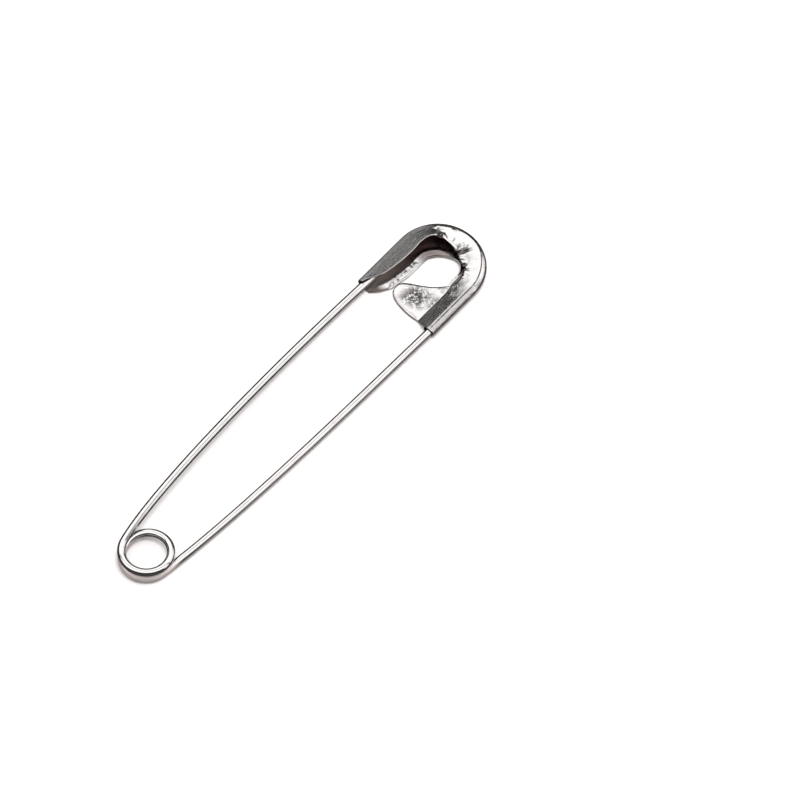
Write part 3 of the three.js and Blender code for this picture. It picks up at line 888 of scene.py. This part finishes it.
# Shares of the tones, what is added to the roughness, and heights in the bump
CLOUD_EDGE = (0.42, 0.72)
SCRATCH_TURNS = (38, -52)
SCRATCHED_GROUND_SHARE = 0.5
SCUFF_EDGE = (0.7, 0.79)
GRAINED_DARK_SHARE = 0.55
LINE_SHARE = 0.95
PAINTED_SHADE_SHARE = 0.88
GRAIN_ROUGHNESS = 0.12
SCUFF_ROUGHNESS = 0.14
INNER_ROUGHNESS = (0.36, 0.12)  # on the straight sides, and in the arch
SCRATCH_HEIGHT = 2.5
GRAIN_HEIGHT = 2.2
TABLE_CLOSE_TO_FAR = (0.0006, 0.0019)  # metres


def new_finish(name, constants):
    material = bpy.data.materials.new(name)
    material.use_nodes = True
    shader = material.node_tree.nodes["Principled BSDF"].inputs
    for key, value in constants.items():
        shader[key].default_value = value
    return material, material.node_tree, shader


def plating_group():
    """Bright nickel plating: cloudy tone and uneven polish. Works on any coordinates."""
    tree, given = new_group("Bright nickel plating", "ShaderNodeTree", [
        ("Place", "Vector"),
        ("Tone", "Color", (0.7, 0.69, 0.69, 1)),
        ("Dull tone", "Color", (0.5, 0.47, 0.46, 1)),
        ("Cloud scale", "Float", 400.0),
        ("Polish", "Float", 0.1),
        ("Unevenness", "Float", 0.12),
    ], [("Colour", "Color"), ("Roughness", "Float")])
    cloud = noise(tree, given["Place"], given["Cloud scale"], detail=4.0, roughness=0.6)
    cloud = eased(tree, cloud, *CLOUD_EDGE)
    return end_group(tree, {
        "Colour": mixed(tree, cloud, given["Tone"], given["Dull tone"]),
        "Roughness": math_node(tree, "MULTIPLY_ADD", cloud, given["Unevenness"], given["Polish"])})


def streak_group():
    """Fine lengthwise marks: noise drawn out along one direction."""
    tree, given = new_group("Lengthwise marks", "ShaderNodeTree", [
        ("Place", "Vector"),
        ("Drawn out", "Vector", (1.0, 1.0, 0.03)),
        ("Fineness", "Float", 9000.0),
    ], [("Height", "Float")])
    place = vector_node(tree, "MULTIPLY", given["Place"], given["Drawn out"])
    return end_group(tree, {"Height": noise(tree, place, given["Fineness"], detail=3.0, roughness=0.7)})


def head_rings_group():
    """A place in the cap's own measures, in millimetres. Reach is how far in from the outside it lies."""
    tree, given = new_group("Rings of the cap", "ShaderNodeTree", [("Place", "Vector")], [
        ("Reach", "Float"), ("Behind the arch", "Float"), ("Across", "Float"), ("Height", "Float")])
    x, y, z = separated(tree, given["Place"])
    u = math_node(tree, "MULTIPLY_ADD", x, 1 / MM, -(COIL_TO_ARCH + COIL_MIDDLE_X))
    v = product(tree, y, 1 / MM)
    flat = new_node(tree, "ShaderNodeCombineXYZ", {"X": math_node(tree, "MAXIMUM", u, 0.0), "Y": v})
    radius = vector_node(tree, "LENGTH", flat.outputs[0])
    return end_group(tree, {
        "Reach": math_node(tree, "SUBTRACT", HEAD_RADIUS, radius),
        "Behind the arch": u, "Across": v, "Height": product(tree, z, 1 / MM)})


def wire_finish(plating, streaks):
    material, tree, shader = new_finish("Nickel-plated drawn wire", {"Metallic": 1.0})
    straight = new_node(tree, "ShaderNodeAttribute", attribute_name="straight_wire").outputs["Vector"]
    coat = grouped(tree, plating, {
        "Place": straight, "Tone": PLATING_TONE, "Dull tone": WIRE_DULL_TONE, "Cloud scale": 500.0,
        "Polish": 0.07, "Unevenness": 0.08})
    marks = grouped(tree, streaks, {"Place": straight, "Drawn out": (1.0, 1.0, 0.02), "Fineness": 7000.0})
    # Above its foot the coil's lower layer is duller and takes a pale, half-metallic tone: painted light
    # that stands in for the soft pinkish light under the layer over it.
    x, _, z = separated(tree, new_node(tree, "ShaderNodeTexCoord").outputs["Object"])
    dull_and_painted_light = product(tree, faded(tree, z, *SHELTERED_UNDER_Z), eased(tree, z, *SHELTERED_OVER_Z),
                   faded(tree, x, *SHELTERED_BEHIND_X))
    feed(tree, shader["Base Color"], mixed(tree, dull_and_painted_light, coat["Colour"], SHELTERED_PAINTED_LIGHT_TONE))
    feed(tree, shader["Roughness"], total(tree, coat["Roughness"], product(tree, dull_and_painted_light, SHELTERED_ROUGHNESS)))
    feed(tree, shader["Metallic"], eased(tree, dull_and_painted_light, 0.0, 1.0, 1.0, SHELTERED_METALLIC))
    feed(tree, shader["Normal"], bumped(tree, marks["Height"], strength=0.25, distance=0.00002))
    set_out(tree)
    return material


def cap_finish(plating, streaks, rings):
    material, tree, shader = new_finish("Nickel-plated pressed sheet", {"Metallic": 1.0})
    where = new_node(tree, "ShaderNodeTexCoord").outputs["Object"]
    coat = grouped(tree, plating, {
        "Place": where, "Tone": PLATING_TONE, "Dull tone": CAP_DULL_TONE, "Cloud scale": 900.0,
        "Polish": 0.09, "Unevenness": 0.08})
    inside, scuffed, grained, crease_and_painted_shade = (
        new_node(tree, "ShaderNodeAttribute", attribute_name=name).outputs["Fac"] for name in MARKS)
    at = grouped(tree, rings, {"Place": where})

    # Scuffs: crossed scratches with bare, rougher ground between them.
    crossed = []
    for turn in SCRATCH_TURNS:
        turned = new_node(tree, "ShaderNodeMapping", {
            "Vector": where, "Rotation": (0, 0, math.radians(turn))}).outputs["Vector"]
        crossed.append(grouped(tree, streaks, {
            "Place": turned, "Drawn out": (0.28, 1.0, 1.0), "Fineness": 4200.0})["Height"])
    scratches = math_node(tree, "MAXIMUM", *crossed)
    ground = noise(tree, where, scale=1300.0, detail=5.0)
    bare = total(tree, scratches, product(tree, ground, SCRATCHED_GROUND_SHARE))
    scuff = product(tree, eased(tree, bare, *SCUFF_EDGE), scuffed)

    # Grain: the rough, dull face of the sheet over the hook.
    grain = noise(tree, where, scale=6000.0, detail=4.0)
    patches = noise(tree, where, scale=700.0, detail=2.0)

    # A fine dark line painted along the outside of the arch and the crimp, nearer the edge on the crimp: a
    # painted reflection.
    line_at = eased(tree, at["Across"], *LINE_SHIFT_ACROSS, LINE_REACH_BY_CRIMP, LINE_REACH_ON_ARCH)
    off = math_node(tree, "ABSOLUTE", math_node(tree, "SUBTRACT", at["Reach"], line_at))
    line = product(
        tree, faded(tree, off, *LINE_HALF_WIDTH),
        eased(tree, at["Height"], *LINE_OVER_HEIGHT),  # only on the front
        faded(tree, at["Across"], *LINE_END_ACROSS),  # not on the hook
        eased(tree, at["Behind the arch"], *LINE_START_BEHIND),  # and not on the last of the crimp
        eased(tree, patches, 0.36, 0.5, 0.45, 1.0))  # broken up

    # The inside carries painted shade: darker tones, near black past the top of the arch.
    in_arch = eased(tree, at["Behind the arch"], *IN_ARCH_BEHIND)
    past_top = faded(tree, at["Across"], *SHADED_ACROSS)
    at_end = faded(tree, at["Behind the arch"], *INNER_END_BEHIND)
    inner_tone = mixed(tree, in_arch, INNER_TONE, INNER_ARCH_TONE)
    inner_tone = mixed(tree, past_top, inner_tone, INNER_SHADED_TONE)
    inner_tone = mixed(tree, at_end, inner_tone, INNER_END_TONE)

    # A darker tone where the sheet is grained.
    grained_dark = product(tree, math_node(tree, "MINIMUM", grained, 1.0), GRAINED_DARK_SHARE)
    tone = coat["Colour"]
    # Of these, the inside tone and the crease mark are painted shade, and the line is a painted reflection.
    for share, new_tone in (
            (inside, inner_tone), (grained_dark, GRAINED_DARK_TONE), (scuff, SCUFF_TONE),
            (product(tree, line, LINE_SHARE), PAINTED_REFLECTION_LINE_TONE),
            (product(tree, crease_and_painted_shade, PAINTED_SHADE_SHARE), PAINTED_SHADE_TONE)):
        tone = mixed(tree, share, tone, new_tone)
    feed(tree, shader["Base Color"], tone)

    inner_roughness = eased(tree, in_arch, 0.0, 1.0, *INNER_ROUGHNESS)
    feed(tree, shader["Roughness"], total(
        tree, coat["Roughness"], product(tree, grained, GRAIN_ROUGHNESS),
        product(tree, inside, inner_roughness), product(tree, scuffed, SCUFF_ROUGHNESS)))

    marks = grouped(tree, streaks, {"Place": where, "Drawn out": (0.3, 1.0, 1.0), "Fineness": 3500.0})
    scratched = product(tree, scratches, scuffed, SCRATCH_HEIGHT)
    height = total(tree, marks["Height"], scratched, product(tree, grain, grained, GRAIN_HEIGHT))
    feed(tree, shader["Normal"], bumped(tree, height, strength=0.7, distance=0.00005))
    set_out(tree)
    return material


def table_finish():
    material, tree, shader = new_finish("Pale table", {"Roughness": 0.9, "Specular IOR Level": 0.0})
    ray = new_node(tree, "ShaderNodeLightPath").outputs
    # Painted reflection: in the metal the table takes a painted tone, bright close by and dark farther off,
    # as in a small light tent.
    far = eased(tree, ray["Ray Length"], *TABLE_CLOSE_TO_FAR, kind="LINEAR")
    in_metal = mixed(tree, far, TABLE_REFLECTION_TONE_CLOSE_BY, TABLE_REFLECTION_TONE_FAR_OFF)
    feed(tree, shader["Base Color"], mixed(tree, ray["Is Glossy Ray"], TABLE_TONE, in_metal))
    set_out(tree)
    return material


# Studio

SKY_STRENGTH = 1.6
LOW_STRENGTH = 0.05
LOW_RING_TOP = math.sin(math.radians(26))
HIGH_LIGHT_FOOT = math.sin(math.radians(33))
OPEN_FRONT = Vector((-0.757, -0.654, 0.0))  # towards the camera the tent is open, so its light starts higher
OPEN_FRONT_EDGE = (0.35, 0.65)
OPEN_FRONT_LIFT = 0.28
BRIGHT_SIDE = Vector((0.75, -0.66, 0.0)).normalized()
BRIGHT_SIDE_EDGE = (0.78, 0.9)
BRIGHT_SIDE_STRENGTH = 1.3
SEAM_ACROSS = Vector((-0.80, -0.552, 0.232))  # square to the seam between the two overhead panels
SEAM_HALF_WIDTH = math.sin(math.radians(4))
SEAM_EDGE = (SEAM_HALF_WIDTH * 0.5, SEAM_HALF_WIDTH * 1.2)
SEAM_SHARE = 0.25
FLOOR_SHARE_OF_SKY = 0.95  # the tent lights the table a little less than it shows in the metal
BACKDROP_STRENGTH = 1.2
LIGHT_TONE = (1.0, 0.992, 0.988, 1)
KEY_WAY = Vector((0.03, -0.1, 1.0)).normalized()
KEY_STRENGTH = 1.3
KEY_ANGLE_DEGREES = 16
TABLE_HALF_SIZE = 4.0  # metres


def studio_light():
    """A white tent: bright panels overhead with a seam between them, dark below, one bright side."""
    world = bpy.data.worlds.new("Studio")
    bpy.context.scene.world = world
    world.use_nodes = True
    tree = world.node_tree
    way = new_node(tree, "ShaderNodeTexCoord").outputs["Generated"]
    up = separated(tree, way)[2]
    front = vector_node(tree, "DOT_PRODUCT", way, OPEN_FRONT)
    lifted = eased(tree, front, *OPEN_FRONT_EDGE, 0.0, OPEN_FRONT_LIFT)
    high = eased(tree, math_node(tree, "SUBTRACT", up, lifted), LOW_RING_TOP, HIGH_LIGHT_FOOT,
                 LOW_STRENGTH, SKY_STRENGTH)
    level = vector_node(tree, "NORMALIZE", vector_node(tree, "MULTIPLY", way, (1, 1, 0)))
    side = vector_node(tree, "DOT_PRODUCT", level, BRIGHT_SIDE)
    bright = eased(tree, side, *BRIGHT_SIDE_EDGE, 0.0, BRIGHT_SIDE_STRENGTH)
    off_seam = math_node(tree, "ABSOLUTE", vector_node(tree, "DOT_PRODUCT", way, SEAM_ACROSS))
    seam = eased(tree, off_seam, *SEAM_EDGE, SEAM_SHARE)
    ray = new_node(tree, "ShaderNodeLightPath").outputs
    on_floor = eased(tree, ray["Is Diffuse Ray"], 0.0, 1.0, 1.0, FLOOR_SHARE_OF_SKY, kind="LINEAR")
    tent = product(tree, math_node(tree, "MAXIMUM", high, bright), seam, on_floor)
    back = tree.nodes["Background"].inputs
    feed(tree, back["Strength"], mixed(tree, ray["Is Camera Ray"], tent, BACKDROP_STRENGTH, kind="FLOAT"))
    feed(tree, back["Color"], LIGHT_TONE)
    set_out(tree)

    sun = bpy.data.lights.new("Soft overhead light", "SUN")
    sun.energy = KEY_STRENGTH
    sun.angle = math.radians(KEY_ANGLE_DEGREES)
    lamp = placed("Soft overhead light", sun)
    lamp.rotation_euler = KEY_WAY.to_track_quat("Z", "Y").to_euler()
    lamp.visible_glossy = False


def photo_camera():
    data = bpy.data.cameras.new("Photograph's camera")
    data.sensor_width = SENSOR_WIDTH
    data.lens = SENSOR_WIDTH / 2 / math.tan(math.radians(CAMERA_VIEW_DEGREES / 2))
    data.clip_start, data.clip_end = CAMERA_CLIP
    camera = placed("Photograph's camera", data)
    camera.location = LOOK_AT + CAMERA_WAY * CAMERA_DISTANCE
    camera.rotation_euler = CAMERA_WAY.to_track_quat("Z", "Y").to_euler()
    bpy.context.scene.camera = camera


def table():
    size = TABLE_HALF_SIZE
    mesh = bpy.data.meshes.new("table")
    corners = [(-size, -size, 0), (size, -size, 0), (size, size, 0), (-size, size, 0)]
    mesh.from_pydata(corners, [], [(0, 1, 2, 3)])
    floor = placed("table", mesh)
    mesh.materials.append(table_finish())


bpy.context.scene.view_settings.view_transform = "Standard"
photo_camera()
studio_light()
table()

plating = plating_group()
streaks = streak_group()
wire_metal = wire_finish(plating, streaks)
cap_metal = cap_finish(plating, streaks, head_rings_group())
sweep = wire_sweep_tree()

# The first of the sprung arm, the coil and the fixed arm are one stretch, up to its end inside the arch.
coil_shares = np.linspace(0, 1, COIL_POINTS)
fixed_lengths = np.linspace(0, fixed_arm.length, FIXED_ARM_POINTS)[1:]
hidden_end = []
for degrees in range(0, WIRE_END_DEGREES + 1, WIRE_END_STEP):
    a = math.radians(degrees)
    hidden_end.append((COIL_TO_ARCH + CRIMP_LINE * math.sin(a), -CRIMP_LINE * math.cos(a), CRIMP_FOLD))
lead_line = sprung_arm.at(np.linspace(LEAD_LENGTH, 0, LEAD_POINTS)[:-1])
standing_line = np.concatenate([
    lead_line, coil_points(coil_shares), fixed_arm.at(fixed_lengths), hidden_end])
standing_wire = swept_wire("coil_and_fixed_wire", sweep, standing_line, wire_metal)
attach(standing_wire, "frame")
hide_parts("spring_coil", "fixed_arm")

# The short stretch that turns over with the sprung arm as it sweeps, with its points packed closer from its
# seventh point on.
turn_from = PIVOT_AT - TURN_LENGTH
root_lengths = np.concatenate([
    np.linspace(LEAD_LENGTH, turn_from, ROOT_POINTS)[:-1],
    np.linspace(turn_from, PIVOT_AT, TURN_POINTS)])
root_line = sprung_arm.at(root_lengths)
root_wire = swept_wire("sprung_wire_root", sweep, root_line, wire_metal)
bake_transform(root_wire)
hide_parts("arm_root")

# The sprung arm, with its ground point inside the hook.
near = np.linspace(PIVOT_AT, PIVOT_AT + BEND_LENGTH, BEND_POINTS)
far = np.linspace(PIVOT_AT + BEND_LENGTH, sprung_arm.length, ARM_POINTS)[1:]
arm_line = sprung_arm.at(np.concatenate([near, far]))
tip_x = COIL_TO_ARCH + TIP_PAST_HOOK
ground = np.linspace(0, 1, GROUND_POINTS)
point_line = [(tip_x - POINT_LENGTH * (1 - g), HOOK_LINE, HOOK_FOLD) for g in ground]
fullness = np.ones(len(arm_line) + GROUND_POINTS)
fullness[len(arm_line):] += (POINT_RADIUS / WIRE_RADIUS - 1) * ground ** POINT_TAPER_POWER
arm_wire = swept_wire("sprung_wire_arm", sweep, np.concatenate([arm_line, point_line]), wire_metal,
                      fullness, PIVOT_AT)
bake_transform(arm_wire)
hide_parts("pin_arm")

cap_piece = build_cap("folded_cap")
cap_piece.data.materials.append(cap_metal)
soften = cap_piece.modifiers.new("soft bends", "SUBSURF")
soften.levels = 1
soften.render_levels = 1
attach(cap_piece, "frame")
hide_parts("cap")
